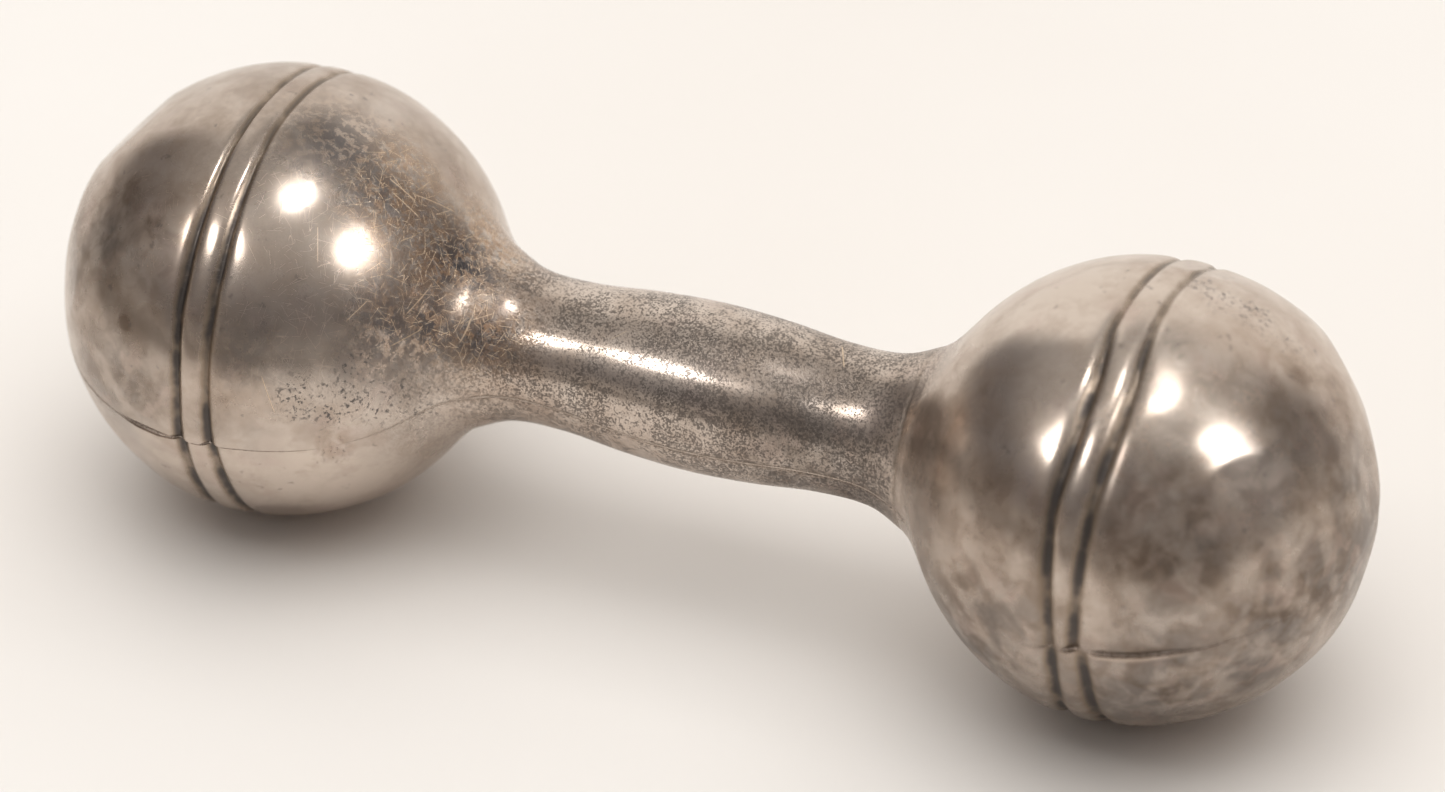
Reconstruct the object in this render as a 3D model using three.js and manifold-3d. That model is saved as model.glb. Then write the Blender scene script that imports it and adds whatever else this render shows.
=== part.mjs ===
// Dumbbell baby rattle in sheet silver: two pressed half shells, each half of the whole dumbbell,
// are silver-soldered along a lengthwise seam, with loose steel pellets sealed inside the two bells.
//
// Frame: millimetres, +X along the rattle from the left bell to the right bell, -Y to the front,
// +Z up. The origin is on the table plane, midway between the bells, and the rattle rests on one
// small worn flat under each bell.
import * as THREE from "three";
import { mergeVertices } from "three/addons/utils/BufferGeometryUtils.js";
import Module from "manifold-3d";

const { degToRad, clamp } = THREE.MathUtils;

// ---- body dimensions ----
const BALL_R = 19; // outside radius of each bell
const BALL_X = 38; // each bell's centre from the middle of the handle
const WALL = 0.45; // sheet thickness
const FLAT_R = 3; // radius of the worn flat under each bell
const AXIS_Z = Math.sqrt(BALL_R ** 2 - FLAT_R ** 2); // height of the long axis above the table

// Grip: [distance from the middle, outside radius].
const HANDLE = [[0, 7.1], [5.7, 6.84], [11.4, 6.28], [16.2, 6.48], [20, 8.1]];
const BLEND = 3.3; // length scale of the smooth flare from grip to bell
const FLARE_END = BALL_X - 0.6 * BALL_R; // beyond this distance the body is a plain ball

// Each bell has a pair of pressed grooves, one each side of its equator.
const GROOVE_X = 1.41; // from the equator to the middle of a groove
const GROOVE_HALF = 0.62; // half width
const GROOVE_DEPTH = 0.38;

const SEAM_TILT = -12; // degrees about X: the seam plane is lower at the back, +Y
const SOLDER = 0.2; // thickness of the solder line between the half shells

// ---- facets of the body ----
const SEGMENTS = 32; // round the long axis
const INNER_STATIONS = [0, 4.5, 8.5, 12, 15, 17, 18.7, 20.2, 21.8, 24, 26.8, 30, 33.2];
const GROOVE_STATIONS = [-1, -0.5, 0, 0.5, 1]; // across each groove, in half widths
const CAP_ANGLES = [74, 63, 52, 41, 30, 19, 9]; // degrees from the pole, seen from the bell's centre
const SLOPE_STEP = 1e-3; // half the span over which the profile's slope is measured
const MERGE_TOLERANCE = 1e-4;
const BIG = 200; // reach of the cutting slabs, well clear of the body

// ---- pellets ----
const PELLET_R = 1.75;
const PELLET_GAP = 0.5; // between a pellet and the inside of the bell
const PELLET_PATH_R = BALL_R - WALL - PELLET_R - PELLET_GAP; // bell's centre to pellet centres
const PELLET_DETAIL = 1; // subdivision level
const LANE = 3.75; // spacing between neighbouring pellets

// Pellet places from each bell's centre: [lanes along X, lanes along Y].
const BELLS = [
  {
    side: "left",
    x: -BALL_X,
    pellets: {
      centre: [0, 0],
      front: [0, -1],
      back: [0, 1],
      inner: [1, 0],
      outer: [-1, 0],
      end: [-2, 0],
    },
  },
  {
    side: "right",
    x: BALL_X,
    pellets: {
      centre: [0, 0],
      inner: [-1, 0],
      outer: [1, 0],
      front: [0, -1],
      back: [0, 1],
      side: [0, -2],
    },
  },
];

// ---- materials ----
const metal = ({ color, roughness }) =>
  new THREE.MeshStandardMaterial({ color, roughness, metalness: 1 });

const MATERIALS = {
  upperSilver: metal({ color: 0xb9afa3, roughness: 0.22 }),
  lowerSilver: metal({ color: 0xb2a89b, roughness: 0.25 }),
  solder: metal({ color: 0x9a8f82, roughness: 0.4 }),
  steel: metal({ color: 0x8d8f92, roughness: 0.3 }),
};

// ---- solids ----
const wasm = await Module();
wasm.setup();

// Rolls a closed geometry about X, lifts it to the long axis and makes it a manifold-3d solid.
function solidOnAxis(geometry, roll) {
  geometry.rotateX(degToRad(roll));
  geometry.translate(0, 0, AXIS_Z);
  // Normals and uvs would keep coincident vertices apart.
  geometry.deleteAttribute("normal");
  geometry.deleteAttribute("uv");
  const merged = mergeVertices(geometry, MERGE_TOLERANCE);
  return new wasm.Manifold(
    new wasm.Mesh({
      numProp: 3,
      vertProperties: new Float32Array(merged.attributes.position.array),
      triVerts: new Uint32Array(merged.index.array),
    }),
  );
}

// A manifold-3d solid as a three.js geometry.
function geometryOf(solid) {
  const mesh = solid.getMesh();
  const geometry = new THREE.BufferGeometry();
  const positions = new Float32Array(mesh.vertProperties);
  geometry.setAttribute("position", new THREE.BufferAttribute(positions, 3));
  geometry.setIndex(new THREE.BufferAttribute(new Uint32Array(mesh.triVerts), 1));
  geometry.computeVertexNormals();
  return geometry;
}

// A wide slab between two heights measured from the long axis, rolled about that axis.
function slab(bottom, top, roll = 0) {
  const geometry = new THREE.BoxGeometry(2 * BIG, 2 * BIG, top - bottom);
  geometry.translate(0, 0, (bottom + top) / 2);
  return solidOnAxis(geometry, roll);
}

// ---- body profile: x is the distance from the middle, never negative ----
// Slope of the grip at a HANDLE station, from the stations either side of it.
function handleSlope(i) {
  if (i === 0) return 0; // the two halves of the grip meet smoothly
  const [x0, r0] = HANDLE[i - 1];
  const [x1, r1] = HANDLE[Math.min(i + 1, HANDLE.length - 1)];
  return (r1 - r0) / (x1 - x0);
}

// Grip radius: a cubic Hermite curve through the HANDLE stations, constant past the last.
function gripRadius(x) {
  const [lastX, lastR] = HANDLE.at(-1);
  if (x >= lastX) return lastR;
  const next = HANDLE.findIndex(([stationX]) => x <= stationX && stationX > 0);
  const [x0, r0] = HANDLE[next - 1];
  const [x1, r1] = HANDLE[next];
  const span = x1 - x0;
  const t = (x - x0) / span;
  return (
    (2 * t ** 3 - 3 * t ** 2 + 1) * r0 +
    (t ** 3 - 2 * t ** 2 + t) * span * handleSlope(next - 1) +
    (-2 * t ** 3 + 3 * t ** 2) * r1 +
    (t ** 3 - t ** 2) * span * handleSlope(next)
  );
}

// Outside radius of the body without its grooves.
function plainRadius(x) {
  const ball = Math.sqrt(Math.max(0, BALL_R ** 2 - (x - BALL_X) ** 2));
  if (x > FLARE_END) return ball;
  const grip = gripRadius(x);
  const mix = clamp(0.5 + (0.5 * (ball - grip)) / BLEND, 0, 1);
  return grip * (1 - mix) + ball * mix + BLEND * mix * (1 - mix);
}

// How far the grooves are pressed in: each is one wave of a cosine.
function grooveDepth(x) {
  let depth = 0;
  for (const side of [-1, 1]) {
    const offset = Math.abs(x - BALL_X - side * GROOVE_X) / GROOVE_HALF;
    if (offset < 1) depth += GROOVE_DEPTH * 0.5 * (1 + Math.cos(Math.PI * offset));
  }
  return depth;
}

// Stations in order from the middle of the grip to just short of a bell's pole.
function stations() {
  const grooves = [-1, 1].flatMap((side) =>
    GROOVE_STATIONS.map((place) => BALL_X + side * GROOVE_X + place * GROOVE_HALF),
  );
  const cap = CAP_ANGLES.map((angle) => BALL_X + BALL_R * Math.cos(degToRad(angle)));
  return [...INNER_STATIONS, ...grooves, ...cap];
}

// The profile point at a station, moved inwards square to the plain surface.
function profilePoint(x, inset) {
  const before = Math.max(0, x - SLOPE_STEP);
  const after = x + SLOPE_STEP;
  const slope = (plainRadius(after) - plainRadius(before)) / (after - before);
  const length = Math.hypot(1, slope);
  const radius = plainRadius(x) - grooveDepth(x) - inset / length;
  return new THREE.Vector2(radius, x + (inset * slope) / length);
}

// The whole dumbbell as a revolved solid, set in from the outside surface.
function dumbbell(inset) {
  const half = stations().map((x) => profilePoint(x, inset));
  half.push(new THREE.Vector2(0, BALL_X + BALL_R - inset));
  const mirrored = half.slice(1).reverse().map((point) => new THREE.Vector2(point.x, -point.y));
  // Starting half a facet round puts the seam plane between two columns of vertices.
  const geometry = new THREE.LatheGeometry([...mirrored, ...half], SEGMENTS, Math.PI / SEGMENTS);
  geometry.rotateZ(-Math.PI / 2);
  return solidOnAxis(geometry, SEAM_TILT);
}

// The hollow body, with the sheet keeping its thickness over the flats.
function bodyShell() {
  const outside = dumbbell(0).intersect(slab(-AXIS_Z, BIG));
  const inside = dumbbell(WALL).intersect(slab(-AXIS_Z + WALL, BIG));
  return outside.subtract(inside);
}

// ---- assembly ----
function add(parent, name, geometry, material) {
  const mesh = new THREE.Mesh(geometry, material);
  mesh.name = name;
  parent.add(mesh);
  return mesh;
}

// Splits the body at the seam into two half shells and the solder line between them.
function addBody(parent) {
  const shell = bodyShell();
  const layers = [
    ["upper_half_shell", SOLDER / 2, BIG, MATERIALS.upperSilver],
    ["lower_half_shell", -BIG, -SOLDER / 2, MATERIALS.lowerSilver],
    ["seam_solder", -SOLDER / 2, SOLDER / 2, MATERIALS.solder],
  ];
  for (const [name, bottom, top, material] of layers) {
    add(parent, name, geometryOf(shell.intersect(slab(bottom, top, SEAM_TILT))), material);
  }
}

// Loose pellets lying on the floor of one bell.
function addPellets(parent, { side, x, pellets }) {
  const bell = new THREE.Group();
  bell.position.set(x, 0, AXIS_Z);
  parent.add(bell);
  for (const [place, lanes] of Object.entries(pellets)) {
    const [dx, dy] = lanes.map((lane) => lane * LANE);
    const drop = Math.sqrt(PELLET_PATH_R ** 2 - dx ** 2 - dy ** 2);
    const ball = new THREE.IcosahedronGeometry(PELLET_R, PELLET_DETAIL);
    add(bell, `pellet_${side}_${place}`, ball, MATERIALS.steel).position.set(dx, dy, -drop);
  }
}

const rattle = new THREE.Group();
addBody(rattle);
for (const bell of BELLS) addPellets(rattle, bell);

export default rattle;
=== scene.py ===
import math

import bmesh
import bpy
import numpy as np
from mathutils import Euler, Matrix, Vector


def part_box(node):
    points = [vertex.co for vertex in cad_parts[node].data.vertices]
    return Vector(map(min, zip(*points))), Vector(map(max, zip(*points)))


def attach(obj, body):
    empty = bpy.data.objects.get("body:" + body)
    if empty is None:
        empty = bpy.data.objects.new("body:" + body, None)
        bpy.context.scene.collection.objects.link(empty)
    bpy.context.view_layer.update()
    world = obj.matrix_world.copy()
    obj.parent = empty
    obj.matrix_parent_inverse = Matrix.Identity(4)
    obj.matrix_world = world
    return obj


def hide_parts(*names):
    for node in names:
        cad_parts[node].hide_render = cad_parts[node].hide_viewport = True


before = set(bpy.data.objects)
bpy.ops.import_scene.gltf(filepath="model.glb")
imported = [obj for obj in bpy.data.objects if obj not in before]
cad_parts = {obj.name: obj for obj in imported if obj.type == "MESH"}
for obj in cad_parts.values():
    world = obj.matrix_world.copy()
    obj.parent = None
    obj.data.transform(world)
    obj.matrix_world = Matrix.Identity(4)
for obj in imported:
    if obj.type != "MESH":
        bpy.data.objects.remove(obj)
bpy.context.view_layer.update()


# ---------------------------------------------------------------- dimensions, millimetres
MM = 0.001  # metres in a millimetre
BALL_R = 19.0
BALL_X = 38.0  # bell centre from the middle
END_X = BALL_X + BALL_R
WALL = 0.45
FLAT_R = 3.0  # radius of the flat that each bell rests on
AXIS_Z = math.sqrt(BALL_R**2 - FLAT_R**2)
AXIS = np.array([0, 0, AXIS_Z])
GRIP = [(0, 7.1), (5.7, 6.84), (11.4, 6.28), (16.2, 6.48), (20, 8.1)]  # x, radius
BLEND = 3.3  # softness of the join between grip and ball
NECK_X = BALL_X - 0.6 * BALL_R  # inwards of here the ball blends into the grip
RING_X = 19.4  # shallow ring where the grip meets the right bell
SHOT_R = 1.75

FINE_STEP, PLAIN_STEP = 0.12, 0.42  # profile spacing at the grooves and ring, and elsewhere
OUTER_COLUMNS, INNER_COLUMNS = 231, 41  # points across each half shell


# ---------------------------------------------------------------- small helpers
def smooth(values, window):
    padded = np.pad(values, len(window) // 2, mode="edge")
    return np.convolve(padded, window / window.sum(), mode="valid")


def look_up(table, x):
    return np.interp(x, *np.transpose(table))


def hump(offset, width):
    return np.exp(-((offset / width) ** 2))


def spot(points, centre, spread):
    return np.exp(-((points - np.array(centre)) ** 2).sum(-1) / (2 * spread * spread))


def around(axial, radial, angle):
    """Vectors turned round the long axis: 0 degrees is level towards -Y, 90 is straight up."""
    turn = np.radians(angle)
    return np.stack([axial + 0 * turn, -radial * np.cos(turn), radial * np.sin(turn)], -1)


def unit(vector):
    return vector / np.linalg.norm(vector)


def bell_centre(x):
    """Centre of the bell on the side of x, relative to the axis."""
    return np.array([math.copysign(BALL_X, x), 0, 0])


def waves(points, shortest, longest, count, seed):
    """Smooth random height, about -1 to 1, made of plane waves between two wavelengths."""
    rng = np.random.default_rng(seed)
    out = np.zeros(points.shape[:-1])
    for _ in range(count):
        way = unit(rng.normal(size=3))
        length = math.exp(rng.uniform(math.log(shortest), math.log(longest)))
        out += np.sin(points @ (way * 2 * math.pi / length) + rng.uniform(0, 2 * math.pi))
    return out / math.sqrt(count)


# ---------------------------------------------------------------- profile of the body
def grip_radius(x):
    """Smooth cubic through GRIP, level at the middle, constant beyond the last point."""
    xs, radii = zip(*GRIP)
    if x >= xs[-1]:
        return radii[-1]
    slopes = [0.0]
    for i in range(1, len(xs) - 1):
        slopes.append((radii[i + 1] - radii[i - 1]) / (xs[i + 1] - xs[i - 1]))
    slopes.append((radii[-1] - radii[-2]) / (xs[-1] - xs[-2]))
    i = 0
    while x > xs[i + 1]:
        i += 1
    span = xs[i + 1] - xs[i]
    t = (x - xs[i]) / span
    return (
        (2 * t**3 - 3 * t**2 + 1) * radii[i]
        + (t**3 - 2 * t**2 + t) * span * slopes[i]
        + (-2 * t**3 + 3 * t**2) * radii[i + 1]
        + (t**3 - t**2) * span * slopes[i + 1]
    )


def neck_radius(x):
    """Radius of the grip, blended into the ball towards the bell."""
    ball = math.sqrt(max(0.0, BALL_R**2 - (x - BALL_X) ** 2))
    grip = grip_radius(x)
    share = min(1.0, max(0.0, 0.5 + 0.5 * (ball - grip) / BLEND))
    return grip * (1 - share) + ball * share + BLEND * share * (1 - share)


def stations():
    """x, radius and outward normal (x, radial) from the left pole to the right pole."""
    points = []
    for a in np.linspace(0, math.acos(-0.6), 1600):
        points.append((BALL_X + BALL_R * math.cos(a), BALL_R * math.sin(a)))
    for x in np.linspace(NECK_X, 0, 1201)[1:]:
        points.append((x, neck_radius(x)))
    right = np.array(points[::-1])
    left = right[:0:-1].copy()
    left[:, 0] *= -1
    line = np.vstack([left, right])
    run = np.concatenate([[0], np.cumsum(np.hypot(*np.diff(line, axis=0).T))])

    near_groove = np.abs(np.abs(line[:, 0]) - BALL_X) < 3.4
    near_ring = np.abs(line[:, 0] - RING_X) < 1.2
    step = smooth(np.where(near_groove | near_ring, FINE_STEP, PLAIN_STEP), np.ones(121))
    counts = 0.5 * (1 / step[1:] + 1 / step[:-1]) * np.diff(run)
    number = np.concatenate([[0], np.cumsum(counts)])
    places = np.interp(np.linspace(0, number[-1], int(number[-1])), number, run)

    def at(where):
        return np.interp(where, run, line[:, 0]), np.interp(where, run, line[:, 1])

    x, radius = at(places)
    reach = 0.02  # the tangent is taken this far to each side
    x_before, radius_before = at(places - reach)
    x_after, radius_after = at(places + reach)
    tangent_x, tangent_r = x_after - x_before, radius_after - radius_before
    length = np.hypot(tangent_x, tangent_r)
    norm_x, norm_r = -tangent_r / length, tangent_x / length
    # exact poles
    norm_x[0], norm_r[0], norm_x[-1], norm_r[-1] = -1, 0, 1, 0
    x[0], x[-1] = -END_X, END_X
    radius[0] = radius[-1] = 0.0
    return x, radius, norm_x, norm_r


STATIONS = stations()

# ---------------------------------------------------------------- seam
# (x, angle round the axis) of the seam along the front and along the back
FRONT_POINTS = [
    (-57, -15), (-50, -15), (-44, -12.6), (-39, -12.3), (-35, -11.2), (-28, -12.3),
    (-22.5, -12.6), (-18, -11), (-14, -10.8), (-7.5, -13.2), (-2, -15.5), (3.5, -15.8),
    (8, -14.8), (17, -14.8), (27.5, -14.6), (31.6, -12.6), (34.6, -12.4), (40, -9.4),
    (43.5, -9.2), (46.5, -8.2), (49, -8.3), (51, -7.2), (57, -7),
]
BACK_POINTS = [
    (-57, 165.5), (-40, 168.5), (-20, 167), (0, 168.8), (20, 167.5), (40, 169.5), (57, 172.5),
]


def smooth_seam(table, samples):
    """The seam's angle every 0.1 mm, smoothed over a number of samples."""
    x = np.linspace(-END_X, END_X, 1141)
    return x, smooth(look_up(table, x), np.hanning(samples))


SEAM_FRONT = smooth_seam(FRONT_POINTS, 35)
SEAM_BACK = smooth_seam(BACK_POINTS, 63)

# (x, height) of the front seam's lips: the edges of the upper and the lower half
LIP_UPPER = [
    (-57, 0), (-54, 0.03), (-50, 0.05), (-46.5, 0.05), (-44, 0), (-42.5, -0.03), (-40, 0),
    (-30, 0), (-27, 0.06), (-24, 0.13), (-21, 0.12), (-18, 0.06), (-15, 0.02), (0, 0), (18, 0),
    (25, 0.02), (31, 0.03), (36, 0), (38.6, -0.10), (41.5, -0.26), (45, -0.22), (48, -0.10),
    (51, 0), (57, 0),
]
LIP_LOWER = [
    (-57, 0), (-54, 0.05), (-50, 0.09), (-46.5, 0.13), (-43.8, 0.28), (-41.6, 0.26),
    (-39.8, 0.06), (-30, 0), (-26, -0.03), (-22, -0.06), (-19, -0.04), (-16, 0), (0, -0.01),
    (18, 0), (25, -0.02), (31, -0.03), (36, 0), (38.6, 0.05), (41, 0.13), (45, 0.13),
    (48, 0.07), (51, 0.02), (57, 0),
]
# width of the lip against x
LIP_WIDTH_UPPER = [(-57, 1.2), (57, 1.2)]
LIP_WIDTH_LOWER = [
    (-57, 1), (-50, 1), (-46, 1.7), (-41, 1.9), (-38, 1.4), (36, 1.1), (40, 0.8), (48, 0.8),
    (52, 1.1), (57, 1.1),
]
# (x, half width) of the solder line that shows
SOLDER_HALF = [
    (-57, 0.10), (-53, 0.08), (-42, 0.08), (-39.5, 0.035), (-28, 0.035), (-23, 0.10),
    (-17, 0.13), (-12, 0.11), (10, 0.12), (20, 0.08), (30, 0.04), (36.5, 0.04), (38.5, 0.08),
    (48, 0.08), (51, 0.04), (57, 0.04),
]
# (x, strength) of the seam's edges and stain
SEAM_SHOW = [
    (-57, 0.1), (-50, 0.12), (-46, 0.26), (-42, 0.34), (-40, 0.16), (-38, 0.06), (-27, 0.05),
    (-23, 0.45), (-17, 0.8), (-12, 0.75), (10, 0.75), (20, 0.45), (30, 0.12), (36.5, 0.12),
    (38, 0.7), (47.5, 0.7), (50, 0.2), (54, 0.06), (57, 0.1),
]


def seam_distance(x, radius, angle, upper):
    """Distance round the shell to the nearer seam, and where that is the front one."""
    front = np.interp(x, *SEAM_FRONT)
    back = np.interp(x, *SEAM_BACK)
    if upper:
        to_front, to_back = angle - front, back - angle
    else:
        to_front, to_back = front - angle, angle - (back - 360)
    to_front, to_back = np.radians(to_front) * radius, np.radians(to_back) * radius
    return np.abs(np.minimum(to_front, to_back)), to_front < to_back


# ---------------------------------------------------------------- grooves
# Two grooves round each bell: (angle round the axis, x from the bell's centre).
# The upper half runs from the front seam over the top, the lower half under the bottom.
GROOVES = {
    ("upper", -BALL_X): (
        [(-12, -1.72), (4, -1.56), (14, -1.64), (26, -1.86), (38, -1.76), (52, -1.64),
         (70, -1.66), (84, -1.45), (100, -1.18), (112, -1.1), (135, -1.35), (168, -1.6)],
        [(-12, 1.12), (4, 1.12), (30, 1.12), (38, 1.2), (60, 1.12), (78, 1), (92, 1.18),
         (115, 1.26), (140, 1.1), (168, 1.05)],
    ),
    ("lower", -BALL_X): (
        [(-192, -1.35), (-150, -1.5), (-110, -1.3), (-70, -1.5), (-49, -1.5), (-34, -1.34),
         (-23, -1.42), (-12, -1.34)],
        [(-192, 1.4), (-150, 1.2), (-110, 1.45), (-70, 1.55), (-38, 1.58), (-24, 1.5),
         (-12, 1.38)],
    ),
    ("upper", BALL_X): (
        [(-10, -1.22), (-3, -1.3), (7, -1.54), (16, -1.7), (26, -1.84), (33, -1.74),
         (40, -1.46), (50, -1.2), (61, -1.08), (69, -1.36), (77, -1.64), (88, -1.5),
         (100, -1.25), (113, -0.95), (140, -1.25), (170, -1.5)],
        [(-10, 0.86), (-1, 0.95), (7, 1.08), (20, 1.16), (30, 1.28), (40, 1.6), (52, 1.94),
         (60, 2.02), (70, 1.74), (82, 1.54), (92, 1.52), (104, 1.7), (116, 1.95), (140, 1.6),
         (170, 1.3)],
    ),
    ("lower", BALL_X): (
        [(-190, -1.3), (-150, -1.45), (-110, -1.35), (-70, -1.7), (-50, -1.6), (-28, -1.16),
         (-14, -1.06), (-8, -1.06)],
        [(-190, 1.5), (-150, 1.35), (-110, 1.5), (-70, 1.6), (-36, 1.74), (-21, 1.76),
         (-8, 1.55)],
    ),
}
# bell centre x, groove width, depth, angle from which it slims over the top
GROOVE_CUTS = [(-BALL_X, 0.50, 0.40, 35), (BALL_X, 0.60, 0.46, 54)]


def groove_centre(table, angle):
    grid = np.linspace(table[0][0], table[-1][0], 721)
    return np.interp(angle, grid, smooth(look_up(table, grid), np.hanning(31)))


def grooves(x, angle, upper, fine):
    """Height of the grooves and the mask of their patina; the inside gets a simpler cut."""
    height, mask = np.zeros(angle.shape), np.zeros(angle.shape)
    for bell_x, width, depth, top_from in GROOVE_CUTS:
        top = np.clip((angle - top_from) / 30, 0, 1)
        slim = 1 - 0.32 * top
        for table in GROOVES["upper" if upper else "lower", bell_x]:
            off = x - bell_x - groove_centre(table, angle)
            if fine:
                height -= depth * slim * np.exp(-(np.abs(off / (width * slim)) ** 1.8))
                height -= 0.10 * slim * hump(off, width + 0.55)
            else:
                height -= 0.40 * hump(off, 0.55)
            mask = np.maximum(mask, hump(off, (width + 0.06) * slim) * (1 - 0.30 * top))
    return height, mask


# ---------------------------------------------------------------- dents and lumps
# Places flattened by knocks: x, y, z, depth, softness of the edge
FACETS = [
    (-52.2, 0.6, 31.4, 0.44, 0.02), (-54, -9.6, 22.2, 0.34, 0.02),
    (-33.2, -12.4, 5.2, 0.16, 0.05), (-46.5, -15.5, 12, 0.14, 0.05),
    (-44, 12, 31.5, 0.20, 0.05), (-50.5, 9.5, 14, 0.22, 0.06),
    (50.3, -10.9, 28.2, 0.20, 0.012), (39.6, 8.7, 35.6, 0.26, 0.05),
    (51.7, 11, 25.8, 0.14, 0.04), (56.1, 2.7, 23.9, 0.34, 0.04),
    (46, -12.3, 6.6, 0.26, 0.05), (56.9, 0.4, 16.3, 0.18, 0.05),
    (47, 14.5, 12.5, 0.22, 0.05),
]
# Low lumps and dents: x, y, z, height, spread
BUMPS = [
    (-39.9, -12.6, 4.2, 0.22, 4.5), (-54.9, -3.2, 27.2, 0.15, 2.2),
    (-34.4, -17.7, 24.6, -0.07, 0.8), (-35.5, -18.6, 16.5, 0.05, 1.6),
    (-32.6, -17.9, 18, -0.06, 1.5), (-34, -18.3, 20.6, 0.035, 1.3),
    (-42, -18.4, 19.4, -0.05, 1.3), (-45.5, -16.4, 16.5, 0.06, 2.2),
    (-29.7, -15.3, 26.3, 0.05, 3.5), (-30, 14, 27, -0.14, 3.2),
    (48.9, 11.2, 29.8, 0.34, 3.8), (50.6, -11.4, 27.4, -0.16, 1.5),
    (47.6, -12.6, 29.6, 0.06, 1.4), (47.6, -9.4, 32.2, -0.06, 1.8),
    (41.5, -8.4, 35.4, -0.11, 1.9), (35.1, -13.6, 31.8, -0.07, 1.7),
    (43.2, -13.4, 30.6, -0.14, 2.4), (45.6, -11, 32.4, 0.07, 1.3),
    (53.4, -8.2, 25.2, 0.10, 1.7), (44.6, -7.5, 34.6, -0.05, 2),
    (52.7, 7.8, 28, 0.10, 2), (47.1, -14.9, 26.3, -0.07, 2),
    (43, -17.5, 22.5, -0.06, 2.2), (35, -18.6, 20, -0.08, 1.5),
    (34.6, -18.4, 23.5, -0.05, 1.4), (35.9, -12.3, 4.3, 0.18, 3.6),
    (55.2, -1.3, 10, 0.20, 4), (42.5, -17.6, 18.4, -0.10, 2.4),
    (36, 17, 24, -0.12, 3),
]
# Creases at the edges of dents: points, height, width on the left and on the right of the
# crease, seen from outside
CREASES = [
    ([(46.5, -13.7, 28.6), (47.1, -12.1, 30.2), (47.9, -10.9, 30.9), (48.9, -9.8, 30.8),
      (49.9, -8.8, 30.7), (50.6, -7.5, 30.9), (51.1, -6.1, 31.1)], 0.11, 1.3, 0.55),
    ([(-49.5, -9.3, 30.8), (-49.3, -11.2, 29.1), (-48.8, -13.3, 27.1), (-47.9, -15, 24.9),
      (-46.9, -16.4, 22.5)], 0.07, 0.8, 1.7),
    ([(53.1, 6.4, 28.3), (54.9, 5.1, 25.9), (56.1, 3, 23.7), (56.8, 1.6, 21.4),
      (57, 0.4, 18.9)], 0.05, 1, 0.6),
]


def crease(points, path, height, left, right):
    path = np.array(path) - AXIS
    centre = bell_centre(path[0][0])
    best = np.full(points.shape[:-1], 1e9)
    side = np.zeros(points.shape[:-1])
    for start, end in zip(path[:-1], path[1:]):
        step = end - start
        share = np.clip(((points - start) @ step) / (step @ step), 0, 1)
        away = points - start - share[..., None] * step
        far = np.linalg.norm(away, axis=-1)
        turn = away @ np.cross((start + end) / 2 - centre, step)
        nearer = far < best
        best = np.where(nearer, far, best)
        side = np.where(nearer, turn, side)
    return height * hump(best, np.where(side > 0, left, right))


def ring_hump(x, angle):
    return hump(x - RING_X, 0.16) * hump(angle - 25, 62)


def relief(x, points, angle, fine):
    """Height of the uneven skin, lumps and creases; the inside leaves out the fine ones."""
    on_ball = np.clip((np.abs(x) - 22) / 6, 0, 1)
    height = waves(points, shortest=9, longest=24, count=18, seed=5) * (0.004 + 0.051 * on_ball)
    if fine:
        ripple = 0.0004 + 0.006 * on_ball + 0.008 * on_ball * (x > 20)
        height += waves(points, shortest=3.2, longest=7, count=26, seed=8) * ripple
        grain = 0.00005 + 0.0004 * on_ball
        height += waves(points, shortest=1.1, longest=2.4, count=30, seed=11) * grain
        # a rougher patch on the front of the left bell
        near = spot(points, (-34.5, -18.2, -1.5), 3.605551)
        height += waves(points, shortest=1.6, longest=3.4, count=20, seed=21) * 0.010 * near
        height -= 0.07 * ring_hump(x, angle)
    for *place, rise, spread in BUMPS:
        height += rise * spot(points, np.array(place) - AXIS, spread)
    if fine:
        for row in CREASES:
            height += crease(points, *row)
    return height


def lips(x, radius, angle, upper, fine):
    """Height of the raised or sunken edges beside the seam, and the distance to it."""
    distance, front = seam_distance(x, radius, angle, upper)
    lip = look_up(LIP_UPPER if upper else LIP_LOWER, x)
    width = look_up(LIP_WIDTH_UPPER if upper else LIP_WIDTH_LOWER, x)
    fade = radius / (radius + 1.5)  # nothing at the poles
    lip = np.where(front, lip, 0.05 if upper else -0.05)
    height = lip * np.exp(-((distance / width) ** 1.6)) * fade
    if fine:
        beside = hump(distance - look_up(SOLDER_HALF, x), 0.09)
        height -= 0.045 * beside * fade * look_up(SEAM_SHOW, x)
    return height, distance


def flatten(points):
    """Press the facets into the bells."""
    for *place, depth, soft in FACETS:
        centre = bell_centre(place[0])
        way = unit(np.array(place) - AXIS - centre)
        above = (points - centre) @ way - (BALL_R - depth)
        eased = soft * np.log1p(np.exp(np.minimum(above / soft, 30)))
        over = np.where(above > 8 * soft, above, eased)
        on_bell = (above > -2) & (np.linalg.norm(points - centre, axis=-1) < BALL_R + 2)
        points = points - way * np.where(on_bell, over, 0)[..., None]
    return points


def surface(profile, angle, upper, fine=True):
    """Outside points relative to the axis, the groove mask and the distance to the seam."""
    x, radius, norm_x, norm_r = profile
    points = around(x, radius, angle)
    height, groove = grooves(x, angle, upper, fine)
    height += relief(x, points, angle, fine)
    lip, distance = lips(x, radius, angle, upper, fine)
    points = points + around(norm_x, norm_r, angle) * (height + lip)[..., None]
    return flatten(points), groove, distance


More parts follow.
